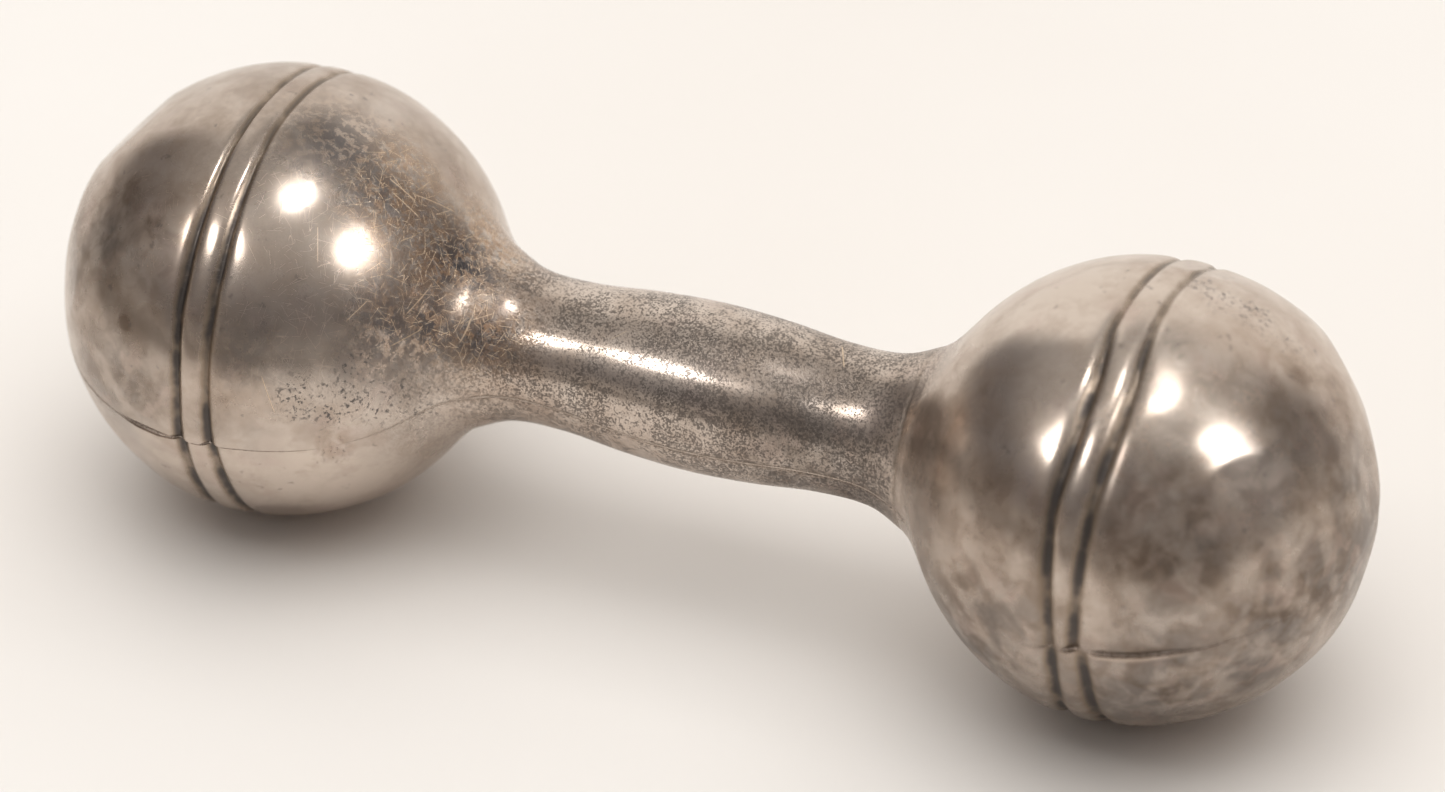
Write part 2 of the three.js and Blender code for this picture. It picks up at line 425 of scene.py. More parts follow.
# ---------------------------------------------------------------- wear and tarnish
# Patches, each row x, y, z, spread, strength
REGIONS = {
    # coppery, thickly scratched patch by the left neck
    "gold": [
        (-22.1, -4.2, 28.3, 3.6, 1), (-25.7, -4, 32.7, 3.4, 0.9), (-18.1, -5.5, 23.6, 2.6, 0.9),
        (-23.5, -9, 27, 3.2, 0.6), (-20.5, -7.6, 24.6, 2.2, 0.8), (-20, 1.5, 27.5, 2.6, 0.8),
        (-26.9, -1.2, 34.1, 2.6, 0.7), (23.5, -4.5, 24.6, 0.9, 0.8),
    ],
    # blue-black sulphide
    "blue": [
        (-21.4, -8, 24.4, 2.8, 0.85), (-23.6, -10.6, 25.4, 3, 0.78), (-27, -5, 34.8, 3, 0.75),
        (-20.4, -3.2, 27.5, 2.8, 1), (-31.3, -3.3, 36.2, 3.4, 0.7),
        (-24.2, -6.5, 29.5, 2.2, 0.35), (-18.4, -5.5, 22.8, 1.8, 0.8),
        (-34, -16.6, 24, 2.4, 0.35), (-30, 14, 12, 3.5, 0.6), (46, 15, 24, 3, 0.5),
    ],
    # clusters of small dark pits
    "pits": [
        (-27, -15, 14.5, 1.5, 0.5), (-29.2, -16.7, 20.5, 1.7, 1), (-26.6, -15.2, 20, 2, 1),
        (-23.6, -12.2, 19.4, 2.2, 0.9), (-21, -9.5, 17, 1.8, 0.8), (-25.5, -13.8, 23, 1.8, 0.8),
        (40.9, 3.7, 37.2, 1.1, 0.9), (43.2, 3, 36.8, 1.4, 1), (45.7, 3.2, 35.8, 1.6, 0.9),
        (48.9, 2.7, 34.1, 1.6, 0.6), (-40, 10, 7, 3, 0.6),
    ],
    "brown": [
        (-43.6, -14.3, 29.5, 5, 0.45), (-48, -12, 28, 4.5, 0.6), (-47.5, -10, 32, 4, 0.5),
        (-27, -15.1, 15.5, 1.2, 0.9), (-29.5, -15.6, 14, 1, 0.6), (-44.9, -16.9, 24.1, 0.7, 1),
        (45.5, -16, 25.5, 4.5, 0.7), (52, -9, 22, 5.5, 0.5), (50.5, -1, 32.5, 4.2, 0.5),
        (42.9, -15.1, 29.1, 1.6, 0.9), (47.5, -13.9, 27.6, 2, 0.7), (34, -17.5, 25, 4.5, 0.5),
        (30, -15, 18, 5, 0.5), (47, -16, 11, 4.5, 0.5), (40, 17, 20, 6, 0.5),
        (-45, 14, 22, 6, 0.5),
    ],
    # dull film that takes the light off
    "dull": [
        (44.5, -15.5, 10.5, 7, 1), (-44.1, -18, 19.3, 3.5, 0.85), (-48.8, -12.2, 28.4, 2.6, 0.95),
        (-33.2, -17.4, 24.8, 2.2, 0.6), (-29.4, -16.2, 23.7, 1.8, 0.5),
        (-25.9, -14.1, 22.6, 2.2, 0.6), (-22.8, -11.1, 20.6, 2.5, 0.5),
        (-34, -3.2, 37.1, 2.6, 0.65), (-30.2, -3.5, 35.7, 2.8, 0.55), (55.7, -1.4, 25.5, 4, 0.9),
        (53, -10.5, 17, 6, 1), (47, -16.5, 21, 4.5, 0.72), (32.6, -18.1, 15.5, 5.5, 0.85),
        (56.3, -3, 24, 3.5, 0.65), (35, -12, 5, 6, 0.8), (11.5, -6.2, 17.5, 5, 0.95),
        (2, -6.8, 18, 4, 0.15), (23.5, -11, 20.5, 3.4, 0.6), (-47, -15, 17.5, 4.5, 0.75),
        (-52, -11.5, 24.5, 4, 0.6), (-42, -14, 6, 5, 0.3), (44, 14, 12, 8, 0.7),
        (-46, 13, 16, 7, 0.5), (-26.5, 2.5, 34.5, 3.5, 0.35), (43.5, -13.5, 29, 4, 0.75),
        (50, -5.5, 31.5, 3, 0.6), (47.5, -14.5, 25, 4, 0.8), (52.5, -10, 24.5, 3, 0.7),
        (52, -11.5, 12.5, 6, 1), (54.5, -6, 19, 5, 1), (15, -6, 16, 4, 0.9),
        (8, -6.5, 16.5, 4, 0.35), (56.4, -1, 18, 6, 1), (30, -13.5, 23.5, 3, 0.45),
        (29, -12.5, 11, 6, 1), (46, -16, 15.5, 5, 1), (-37, -18, 17.8, 2.2, 0.55),
        (-32.5, -17.6, 16.8, 1.8, 0.45), (-28.5, -16, 18.6, 2.2, 0.3),
        (-24.5, -12.5, 15.5, 2.6, 0.35), (-40, 2, 37, 6, 0.30), (-28, 4, 33.5, 6, 0.35),
    ],
    # hazy places, where rubbing has spread the light
    "haze": [
        (-44.3, -13.7, 30, 2.4, 0.9), (-31, -16.8, 24.5, 4, 0.35), (-25.9, -14.1, 22.6, 3, 0.6),
        (-19.5, -5.5, 25, 2.6, 1), (44.5, -7, 34.8, 5, 0.9), (48.5, -9.5, 31, 4, 0.8),
        (46, -14.5, 27, 5, 0.7), (51, -8, 28, 4, 0.6), (-50, -10, 29, 5, 0.45),
        (27, -11.5, 26.5, 3, 0.6), (37, -12, 33, 3.5, 0.6), (21, -6.5, 23.5, 3.2, 0.9),
        (24, -10, 20, 4, 0.9), (25, -8, 27.5, 3.5, 0.95), (-21.5, -5, 26.5, 4, 0.55),
        (-31, -9, 33, 5, 0.25), (-48.5, -9, 30, 5, 0.2), (38.3, -11.5, 33.8, 2.6, 1),
        (42, -9.5, 35, 3, 0.9), (52, -8, 27, 5, 0.6), (17, -5, 22.5, 2, 0.4),
    ],
    # where the hairlines are thickest
    "scuff": [
        (-30, -9, 33, 6.5, 1), (-24, -6, 29, 5, 1), (-36, -12.5, 31.5, 4.5, 0.7),
        (-34, -16.5, 26, 4, 0.5), (-29, -14, 26, 5, 0.8), (-44, -10, 33, 5, 0.35),
        (-33, -3, 36.5, 4, 0.6), (-10, -4.5, 23, 5, 0.3), (4, -4.5, 23.5, 5, 0.35),
        (13, -3.5, 23.5, 4, 0.5), (46, -8, 34, 6, 0.25), (30, -10, 30, 6, 0.15),
        (-40, 12, 28, 6, 0.6), (40, 12, 28, 6, 0.4),
    ],
    # lighter, less tarnished patches; those low on the front of the left bell are painted light,
    # lifting the floor's shade reflected there
    "clean_and_painted_light": [
        (-29, -15.5, 13.5, 4.5, 0.9), (25.2, -10.5, 28.1, 2.6, 0.7), (-5, 3, 24, 8, 0.9),
        (5, -3, 14, 8, 0.6), (-40, -15.5, 9, 5, 0.7), (-26, -12, 12, 5, 0.9),
        (-31.5, -16.5, 13, 6, 0.9), (-36.5, -17, 9, 4.5, 0.8), (-45, -15.8, 20, 4.5, 0.2),
        (54.6, -9.1, 16.7, 2.6, 0.7), (47.5, -9, 33.5, 3, 0.8), (-33, -8, 35, 4.5, 0.5),
        (30, 0, 34, 6, 0.8), (39, -3, 36.5, 5, 0.5),
    ],
}
# small spots at the left neck's highlights where the tarnish is taken away, a painted highlight
PAINTED_HIGHLIGHT_SPOTS = [(-19.9, -4.9, 25.1, 1.1, 0.75), (-16.8, -3.2, 24.4, 0.9, 0.8)]


def patches(points, rows):
    mask = np.zeros(points.shape[:-1])
    for *place, spread, strength in rows:
        mask = np.maximum(mask, strength * spot(points, place, spread))
    return mask


def wear_masks(points, groove, distance, angle, upper):
    """The outside's masks by attribute name."""
    x = STATIONS[0][:, None]
    show = look_up(SEAM_SHOW, x)
    edge = hump(distance - look_up(SOLDER_HALF, x), 0.18) * show
    masks = {
        "groove": groove,
        "seam": np.maximum(edge, ring_hump(x, angle) * 0.95),
        "seam_wide": hump(distance, 1.6) * show,
    }
    for label, rows in REGIONS.items():
        mask = patches(points, rows)
        if label in ("gold", "blue", "dull"):
            # the painted highlight spots take the tarnish off where the lamps' highlights fall
            for *place, spread, strength in PAINTED_HIGHLIGHT_SPOTS:
                mask = mask * (1 - strength * spot(points, place, spread))
        if label == "dull" and not upper:
            # a thin bright line along the raised lip under the right bell's seam, a painted
            # highlight: the film is taken off there
            lip = np.clip((x - 38.5) / 1.5, 0, 1) * np.clip((48.5 - x) / 3.5, 0, 1)
            mask = mask * (1 - 0.9 * lip * hump(distance - 0.22, 0.26))
        masks[label] = mask
    # speckle: the whole grip, and faintly in the left bell's worn patches
    along = points[..., 0]
    over = np.clip((angle - 45) / 35, 0, 1)
    right_end = np.clip((19.9 + 4 * over - along) / (0.8 + 5.5 * over), 0, 1)
    speck = np.clip((along + 25) / 9, 0, 1) * right_end
    for label, share in (("gold", 0.42), ("scuff", 0.18)):
        left_rows = [row for row in REGIONS[label] if row[0] < 0]
        speck = np.maximum(speck, share * patches(points, left_rows))
    masks["speck"] = speck
    return masks


# ---------------------------------------------------------------- mesh building
def outward_faces(points, quads, tris=np.empty((0, 3), int)):
    """Faces as tuples, turned over if the closed mesh's signed volume is negative."""
    split = np.vstack([tris, quads[:, [0, 1, 2]], quads[:, [0, 2, 3]]])
    first, second, third = (points[split[:, i]] for i in range(3))
    if np.einsum("ij,ij->i", first, np.cross(second, third)).sum() < 0:
        quads, tris = quads[:, ::-1], tris[:, ::-1]
    return [tuple(face) for face in quads.tolist() + tris.tolist()]


def link_object(name, mesh):
    piece = bpy.data.objects.new(name, mesh)
    bpy.context.scene.collection.objects.link(piece)
    return piece


def smooth_faces(mesh):
    mesh.polygons.foreach_set("use_smooth", np.ones(len(mesh.polygons), bool))


def mesh_object(name, points, faces, masks):
    """A smooth-shaded object from millimetre points; masks cover the first vertices."""
    mesh = bpy.data.meshes.new(name)
    mesh.from_pydata((points * MM).tolist(), [], faces)
    mesh.validate()
    for label, mask in masks.items():
        values = np.zeros(len(points), np.float32)
        values[: len(mask)] = mask
        mesh.attributes.new(label, "FLOAT", "POINT").data.foreach_set("value", values)
    smooth_faces(mesh)
    mesh.set_sharp_from_angle(angle=math.radians(50))
    return link_object(name, mesh)


def fit(piece, material, node, rides):
    """Give a piece its material and put it in the place of a CAD node."""
    piece.data.materials.append(material)
    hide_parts(node)
    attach(piece, rides)


# ---------------------------------------------------------------- half shells
def unroll(grid):
    """Grid values in vertex order, each end row drawn together into one pole."""
    middle = grid[1:-1].reshape(-1, *grid.shape[2:])
    return np.concatenate([grid[:1].mean(1), middle, grid[-1:].mean(1)])


def vertex_numbers(first, columns):
    rows = len(STATIONS[0]) - 2
    numbers = np.empty((rows + 2, columns), np.int64)
    numbers[0] = first
    numbers[1:-1] = first + 1 + np.arange(rows * columns).reshape(rows, columns)
    numbers[-1] = first + 1 + rows * columns
    return numbers


def skin_faces(numbers, flip):
    corner = (numbers[:-1, :-1], numbers[1:, :-1], numbers[1:, 1:], numbers[:-1, 1:])
    quads = np.stack(corner[::-1] if flip else corner, -1)[1:-1].reshape(-1, 4)
    tris = []
    for pole, ring, swap in (
        (numbers[0, 0], numbers[1], flip),
        (numbers[-1, 0], numbers[-2], not flip),
    ):
        here, after = ring[:-1], ring[1:]
        centre = np.full(len(here), pole)
        tris.append(np.stack([centre, after, here] if swap else [centre, here, after], -1))
    return quads, np.vstack(tris)


def shell_faces(outer, inner):
    """Quads and triangles of both skins and the two edges between them."""
    outer_quads, outer_tris = skin_faces(outer, False)
    inner_quads, inner_tris = skin_faces(inner, True)
    quads = [outer_quads, inner_quads]
    for column, order in ((0, 1), (-1, -1)):
        out, ins = outer[:, column], inner[:, column]
        quads.append(np.stack([out[:-1], out[1:], ins[1:], ins[:-1]], -1)[:, ::order])
    return np.vstack(quads), np.vstack([outer_tris, inner_tris])


def half_shell(name, upper):
    """One pressed half: outside, inside and the two soldered edges, closed."""
    x, radius = STATIONS[:2]
    profile = [values[:, None] for values in STATIONS]
    front, back = np.interp(x, *SEAM_FRONT), np.interp(x, *SEAM_BACK)
    gap = np.degrees(np.minimum(look_up(SOLDER_HALF, x) / np.maximum(radius, 1e-6), 0.06))
    start, end = (front + gap, back - gap) if upper else (back - 360 + gap, front - gap)

    def angles(columns):
        # columns lie closer together towards the seams
        share = np.linspace(0, 1, columns)
        share = share - 0.62 * np.sin(2 * math.pi * share) / (2 * math.pi)
        return start[:, None] + (end - start)[:, None] * share

    angle = angles(OUTER_COLUMNS)
    outer, groove, distance = surface(profile, angle, upper)
    inner_angle = angles(INNER_COLUMNS)
    inner = surface(profile, inner_angle, upper, fine=False)[0]
    inner = inner - around(*profile[2:], inner_angle) * WALL
    for skin, lowest in ((outer, 0.0), (inner, WALL)):
        skin[..., 2] = np.maximum(skin[..., 2] + AXIS_Z, lowest)

    outer_points = unroll(outer)
    points = np.vstack([outer_points, unroll(inner)])
    quads, tris = shell_faces(
        vertex_numbers(0, OUTER_COLUMNS), vertex_numbers(len(outer_points), INNER_COLUMNS)
    )
    masks = wear_masks(outer, groove, distance, angle, upper)
    masks = {label: unroll(mask) for label, mask in masks.items()}
    return mesh_object(name, points, outward_faces(points, quads, tris), masks)


# ---------------------------------------------------------------- node helpers
class Value:
    """A node's output; arithmetic on it makes more nodes."""

    def __init__(self, net, socket):
        self.net = net
        self.socket = socket

    def __add__(self, other):
        return self.net.math("ADD", self, other)

    def __radd__(self, other):
        return self.net.math("ADD", other, self)

    def __sub__(self, other):
        return self.net.math("SUBTRACT", self, other)

    def __mul__(self, other):
        return self.net.math("MULTIPLY", self, other)

    def __abs__(self):
        return self.net.math("ABSOLUTE", self)

    def max(self, other):
        return self.net.math("MAXIMUM", self, other)

    def swing(self, by):
        """A noise made to swing round zero."""
        return (self - 0.5) * by

    def ramp(self, over, to=(0, 1), smooth=True):
        inputs = {"Value": self, "From Min": over[0], "From Max": over[1]}
        inputs |= {"To Min": to[0], "To Max": to[1]}
        kind = "SMOOTHSTEP" if smooth else "LINEAR"
        return self.net.value("MapRange", inputs, "Result", interpolation_type=kind, clamp=True)


class Net:
    """Makes and links the nodes of a material, light or world."""

    def __init__(self, owner):
        owner.use_nodes = True
        self.tree = owner.node_tree
        self.tree.nodes.clear()

    def put(self, socket, value):
        if isinstance(value, Value):
            self.tree.links.new(value.socket, socket)
        elif isinstance(value, tuple) and len(value) == 3 and socket.type == "RGBA":
            socket.default_value = (*value, 1.0)
        else:
            socket.default_value = value

    def node(self, kind, inputs, **props):
        made = self.tree.nodes.new("ShaderNode" + kind)
        for prop, setting in props.items():
            setattr(made, prop, setting)
        for key, value in inputs.items():
            self.put(made.inputs[key], value)
        return made

    def value(self, kind, inputs, output=0, **props):
        return Value(self, self.node(kind, inputs, **props).outputs[output])

    def math(self, operation, first, second=None, clamp=False):
        inputs = {0: first} if second is None else {0: first, 1: second}
        return self.value("Math", inputs, operation=operation, use_clamp=clamp)

    def vec(self, operation, first, second=None, scale=None):
        inputs = {0: first}
        if second is not None:
            inputs[1] = second
        if scale is not None:
            inputs["Scale"] = scale
        output = "Value" if operation in ("LENGTH", "DOT_PRODUCT", "DISTANCE") else 0
        return self.value("VectorMath", inputs, output, operation=operation)

    def mix(self, share, first, second):
        return self.value("Mix", {0: share, 6: first, 7: second}, 2, data_type="RGBA")

    def mix_number(self, share, first, second):
        return self.value("Mix", {0: share, 2: first, 3: second}, data_type="FLOAT")

    def cover(self, base, colour, mask, most):
        return self.mix(mask * most, base, colour)

    def mapping(self, vector, turn=(0, 0, 0), scale=(1, 1, 1), shift=(0, 0, 0), kind="POINT"):
        turn = tuple(math.radians(v) for v in turn)
        inputs = {"Vector": vector, "Rotation": turn, "Scale": scale, "Location": shift}
        return self.value("Mapping", inputs, vector_type=kind)

    def noise(self, vector, scale, detail=3, rough=0.55, distort=0, shift=None):
        if shift:
            vector = self.mapping(vector, shift=shift)
        inputs = {"Vector": vector, "Scale": scale, "Detail": detail}
        inputs |= {"Roughness": rough, "Distortion": distort}
        return self.value("TexNoise", inputs)

    def attribute(self, name):
        props = {"attribute_name": name, "attribute_type": "GEOMETRY"}
        return self.value("Attribute", {}, "Fac", **props)

    def millimetres(self):
        return self.vec("SCALE", self.value("TexCoord", {}, "Object"), scale=1000)

    def angle_from(self, direction, azimuth):
        """Unsigned angle round Z between a direction and an azimuth in degrees."""
        a = math.radians(azimuth)
        along = self.vec("DOT_PRODUCT", direction, (math.cos(a), math.sin(a), 0))
        side = self.vec("DOT_PRODUCT", direction, (-math.sin(a), math.cos(a), 0))
        return abs(self.math("ARCTAN2", side, along))

    def bump(self, height):
        return self.value("Bump", {"Strength": 1, "Distance": MM, "Height": height})

    def metal(self, colour, rough, bump):
        inputs = {"Base Color": colour, "Metallic": 1, "Roughness": rough, "Normal": bump}
        return self.value("BsdfPrincipled", inputs)

    def finish(self, kind, surface_shader):
        self.node("Output" + kind, {"Surface": surface_shader})


def new_material(name):
    made = bpy.data.materials.new(name)
    return made, Net(made)


def highest(values):
    out = values[0]
    for value in values[1:]:
        out = out.max(value)
    return out


def degrees(*values):
    return tuple(math.radians(v) for v in values)


# ---------------------------------------------------------------- scratches
# Long hairlines: direction in degrees, pattern per mm across and along, width, seed
HAIRLINES = [
    ((10, 20, 35), 1.5, 0.05, 0.018, 1),
    ((60, -35, 110), 1.7, 0.06, 0.018, 2),
    ((25, -70, 75), 1.8, 0.07, 0.020, 4),
]
# Short scratches: cells per mm, half width in mm, seed, share kept, half length in cells
HAIR_FLECKS = [
    (0.42, 0.020, 1, 0.75, 0.60), (0.70, 0.018, 2, 0.8, 0.58), (1.25, 0.017, 3, 0.8, 0.55),
]
THICK_FLECKS = [
    (0.50, 0.027, 4, 0.85, 0.60), (0.85, 0.024, 5, 0.90, 0.60), (1.45, 0.022, 6, 0.90, 0.60),
]
# Single scratches: one end, other end, half width in mm, strength
STROKES = [
    ((-27.2, -2.78, 34.12), (-24.93, -2.53, 32.28), 0.07, 1),
    ((-26.64, -3.65, 33.51), (-24.2, -3.4, 31.32), 0.06, 1),
    ((-25.41, -2.24, 32.77), (-22.71, 0.41, 29.98), 0.06, 0.9),
    ((-30.42, -9.78, 33.15), (-29.45, -12.04, 30.67), 0.05, 0.5),
    ((-32.19, -17.61, 22.8), (-31.05, -17.66, 19.16), 0.06, 0.6),
    ((-22.08, -6.42, 26.93), (-23.03, -9.33, 25.72), 0.07, 0.8),
    ((-21.77, -8.34, 24.25), (-23.59, -11.29, 23.74), 0.07, 0.7),
    ((-25.47, -11.05, 27.74), (-26.63, -13.06, 26.53), 0.06, 0.7),
    ((-18.99, -5.33, 24.07), (-19.41, -6.88, 22.35), 0.07, 0.8),
    ((11.17, 1.59, 24.82), (12.53, -1.37, 24.89), 0.08, 0.7),
    ((-7.04, -3.97, 24.16), (-5.8, -3.11, 24.83), 0.05, 0.5),
]


def hairline(net, place, normal, turn, across, along, width, seed):
    """Thin lines in one direction: a drawn-out noise where it crosses its middle value."""
    axis = Euler([math.radians(v) for v in turn], "XYZ").to_matrix() @ Vector((1, 0, 0))
    scale = (1 / along, 1 / across, 1 / across)
    shift = (seed * 13.1, seed * 7.7, seed * 4.9)
    drawn = net.mapping(place, turn, scale, shift, kind="TEXTURE")
    noise = net.noise(drawn, scale=1, detail=0, rough=0)
    line = abs(noise - 0.5).ramp(over=(0, width), to=(1, 0))
    wide = net.mapping(place, turn, (2.6, 0.9, 0.9), (seed, seed * 3, 0), kind="TEXTURE")
    gate = net.noise(wide, scale=1, detail=1)
    # none where the surface faces along the lines
    facing = abs(net.vec("DOT_PRODUCT", normal, tuple(axis)))
    flat = facing.ramp(over=(0.25, 0.60), to=(1, 0))
    return line * gate.ramp(over=(0.50, 0.60)) * flat


def flecks(net, place, normal, per_mm, half, seed, keep, reach):
    """Short scratches every way: a line through the middle of each cell of a pattern."""
    shift = (seed * 17.3, seed * 5.9, seed * 11.1)
    scaled = net.vec("ADD", net.vec("SCALE", place, scale=per_mm), shift)
    inputs = {"Scale": 1, "Vector": scaled}
    cell = net.node("TexVoronoi", inputs, voronoi_dimensions="3D", feature="F1")
    colour = Value(net, cell.outputs["Color"])
    away = net.vec("SUBTRACT", scaled, Value(net, cell.outputs["Position"]))
    way = net.vec("SUBTRACT", colour, (0.5, 0.5, 0.5))
    side = net.vec("NORMALIZE", net.vec("CROSS_PRODUCT", normal, way))
    along = net.vec("CROSS_PRODUCT", side, normal)
    off = abs(net.vec("DOT_PRODUCT", away, side))
    run = abs(net.vec("DOT_PRODUCT", away, along))
    line = off.ramp(over=(half * per_mm * 0.3, half * per_mm), to=(1, 0))
    end = run.ramp(over=(reach * 0.6, reach), to=(1, 0))
    pick = net.math("FRACT", net.vec("DOT_PRODUCT", colour, (12.9, 78.2, 37.7)))
    return line * end * pick.ramp(over=(1 - keep, 1 - keep + 0.15), smooth=False)


def strokes(net, place):
    lines = []
    for start, end, half, strength in STROKES:
        start, end = np.array(start), np.array(end)
        middle = (start + end) / 2
        x = middle[0]
        centre = AXIS + (bell_centre(x) if abs(x) > 19 else np.array([x, 0, 0]))
        across = unit(np.cross(start - centre, end - centre))
        length = float(np.linalg.norm(end - start))
        off = abs(net.vec("DOT_PRODUCT", place, tuple(across)) - float(centre @ across))
        line = off.ramp(over=(half * 0.35, half), to=(strength, 0))
        far = net.vec("DISTANCE", place, tuple(middle))
        lines.append(line * far.ramp(over=(length * 0.36, length * 0.52), to=(1, 0)))
        # merge as we go
        lines = [highest(lines)]
    return lines[0]


# ---------------------------------------------------------------- silver
# the lower half's higher tone is painted light, lifting the floor's shade reflected low on the
# bells
TONED = {  # colours multiplied by the half's tone
    "bright": (0.695, 0.602, 0.526),
    "warm": (0.51, 0.411, 0.336),
    "dark": (0.28, 0.206, 0.156),
    "pink": (0.61, 0.48, 0.425),
    "brown film": (0.116, 0.087, 0.068),
    "grey film": (0.180, 0.160, 0.147),
    "pink film": (0.272, 0.214, 0.185),
    "speckle": (0.112, 0.097, 0.089),
    "hairline": (0.70, 0.61, 0.53),
}
FIXED = {
    "gold": (0.47, 0.285, 0.160),
    "blue": (0.070, 0.077, 0.094),
    "pit": (0.105, 0.10, 0.10),
    "lone spot": (0.20, 0.17, 0.155),
    "groove edge": (0.28, 0.212, 0.150),
    "groove": (0.100, 0.090, 0.086),
    "seam": (0.20, 0.155, 0.115),
    "seam stain": (0.32, 0.25, 0.21),
    "thick scratch": (0.88, 0.70, 0.51),
}
MASKS = (
    "groove", "seam", "seam_wide", "speck", "gold", "blue", "pits", "brown", "clean_and_painted_light", "dull",
    "haze", "scuff",
)


def film_tint(net, place, colour):
    """Brown, grey and pinkish blots of the dull film."""
    grey = net.noise(place, scale=0.34, detail=4, rough=0.58, distort=0.4, shift=(3, 8, 21))
    pink = net.noise(place, scale=0.30, detail=3, rough=0.55, distort=0.5, shift=(40, 2, 9))
    tint = net.mix(grey.ramp(over=(0.40, 0.56)), colour["brown film"], colour["grey film"])
    return net.mix(pink.ramp(over=(0.54, 0.64)), tint, colour["pink film"])


def speckle(net, place):
    """Small dark marks, thicker in some areas."""
    small = net.noise(place, scale=5.5, detail=2, rough=0.6)
    large = net.noise(place, scale=2, detail=4, rough=0.7, distort=0.2)
    area = net.noise(place, scale=0.20, detail=3).ramp(over=(0.36, 0.58))
    cut = net.mix_number(area, 0.520, 0.462)
    return (small * 0.62 + large * 0.38 - cut).ramp(over=(0, 0.05))


def pit_spots(net, place, pits):
    large = net.noise(place, scale=2.2, detail=4, rough=0.62)
    small = net.noise(place, scale=3, detail=3, rough=0.62, shift=(7, 19, 5))
    spots = large.ramp(over=(0.564, 0.636)).max(small.ramp(over=(0.582, 0.656)))
    return spots * pits.ramp(over=(0.15, 0.75))


def silver(name, tone=1.0, wear=0.0, marks=True):
    """Old polished silver; wear adds roughness, marks adds the single scratches."""
    material, net = new_material(name)
    colour = FIXED | {key: tuple(v * tone for v in rgb) for key, rgb in TONED.items()}
    place = net.millimetres()
    normal = net.value("NewGeometry", {}, "Normal")
    masks = [net.attribute(label) for label in MASKS]
    groove, seam, seam_wide, speck, gold, blue, pits, brown, clean_and_painted_light, dull, haze, scuff = masks

    cloud = net.noise(place, scale=0.12, detail=4, rough=0.6)
    patch = net.noise(place, scale=0.38, detail=4, rough=0.55, distort=0.3)
    fine = net.noise(place, scale=1.7, detail=4, rough=0.65)
    grain = net.noise(place, scale=7, detail=3, rough=0.6)
    blot = net.noise(place, scale=0.36, detail=4, rough=0.56, distort=0.5, shift=(5, 17, 3))
    haze = haze * blot.ramp(over=(0.38, 0.62), to=(1.25, 0.35))

    # tarnish amount, about 0.4 on average
    tarnish = 0.36 + cloud.swing(by=1.3)
    tarnish += patch.swing(by=0.8)
    tarnish += brown * blot.ramp(over=(0.36, 0.64), to=(0.10, 0.95))
    # less tarnish in the lighter patches, partly painted light
    tarnish -= clean_and_painted_light * 0.32
    tarnish += fine.swing(by=0.35)
    tarnish = net.math("MULTIPLY", tarnish, 1, clamp=True)

    light_part = tarnish.ramp(over=(0.05, 0.62), smooth=False)
    base = net.mix(light_part, colour["bright"], colour["warm"])
    base = net.mix(tarnish.ramp(over=(0.55, 1.1)), base, colour["dark"])
    pink = net.noise(place, scale=0.31, detail=3, rough=0.5)
    base = net.mix(pink.ramp(over=(0.52, 0.72), to=(0, 0.30)), base, colour["pink"])

    tint = film_tint(net, place, colour)
    film = dull * (blot * 0.6 + patch * 0.4).ramp(over=(0.40, 0.57), to=(0.66, 1))
    base = net.cover(base, tint, film, most=0.88)
    specks = speckle(net, place) * speck
    base = net.cover(base, colour["speckle"], specks, most=0.76)

    # coppery and blue-black patches
    noise = net.noise(place, scale=1.3, detail=5, rough=0.7, distort=0.4)
    base = net.cover(base, colour["gold"], gold * noise.ramp(over=(0.41, 0.53)), most=0.76)
    noise = net.noise(place, scale=1.15, detail=5, rough=0.76, distort=0.3, shift=(9, 4, 2))
    blue = blue * noise.ramp(over=(0.462, 0.505))
    base = net.cover(base, colour["blue"], blue, most=0.92)

    # clustered pits and a few lone spots
    pit = pit_spots(net, place, pits)
    base = net.cover(base, colour["pit"], pit, most=0.85)
    lone = net.noise(place, scale=0.95, detail=3, rough=0.55, shift=(31, 7, 3))
    base = net.cover(base, colour["lone spot"], lone.ramp(over=(0.66, 0.72)), most=0.5)

    # patina in the grooves and beside the seam
    uneven = net.noise(place, scale=0.28, detail=3, rough=0.6)
    patina = groove * uneven.ramp(over=(0.34, 0.60), to=(0.55, 1))
    edge = patina.ramp(over=(0.08, 0.50), to=(0, 0.68))
    base = net.mix(edge, base, colour["groove edge"])
    base = net.mix(patina.ramp(over=(0.36, 0.90), to=(0, 0.95)), base, colour["groove"])
    line = seam * fine.ramp(over=(0.35, 0.6), to=(0.25, 0.75))
    base = net.mix(line, base, colour["seam"])
    stain = seam_wide * patch.ramp(over=(0.45, 0.65), to=(0, 0.35))
    base = net.mix(stain, base, colour["seam stain"])

    # hairlines everywhere, thick scratches in the coppery patch
    worn = scuff * 0.85 + 0.03
    lines = [hairline(net, place, normal, *row) for row in HAIRLINES]
    lines += [flecks(net, place, normal, *row) for row in HAIR_FLECKS]
    hair = highest(lines) * worn
    thick = highest([flecks(net, place, normal, *row) for row in THICK_FLECKS])
    thick = thick * gold.ramp(over=(0.05, 0.55))
    if marks:
        thick = thick.max(strokes(net, place))
    base = net.cover(base, colour["hairline"], hair, most=0.42)
    base = net.cover(base, colour["thick scratch"], thick, most=0.92)

    # roughness: what each layer adds or takes off
    rough = 0.135 + wear + tarnish * 0.12
    rough += fine.swing(by=0.08)
    rough += film * 0.16
    rough += haze.max(gold) * 0.08
    rough += specks * 0.16
    rough -= speck * 0.030
    rough += blue * 0.15
    rough += pit * 0.18
    rough += patina * 0.22
    rough = net.mix_number(hair * 0.60, rough, 0.46)
    rough = net.mix_number(thick * 0.80, rough, 0.46)
    rough = net.math("MINIMUM", rough.max(0.07), 0.75)

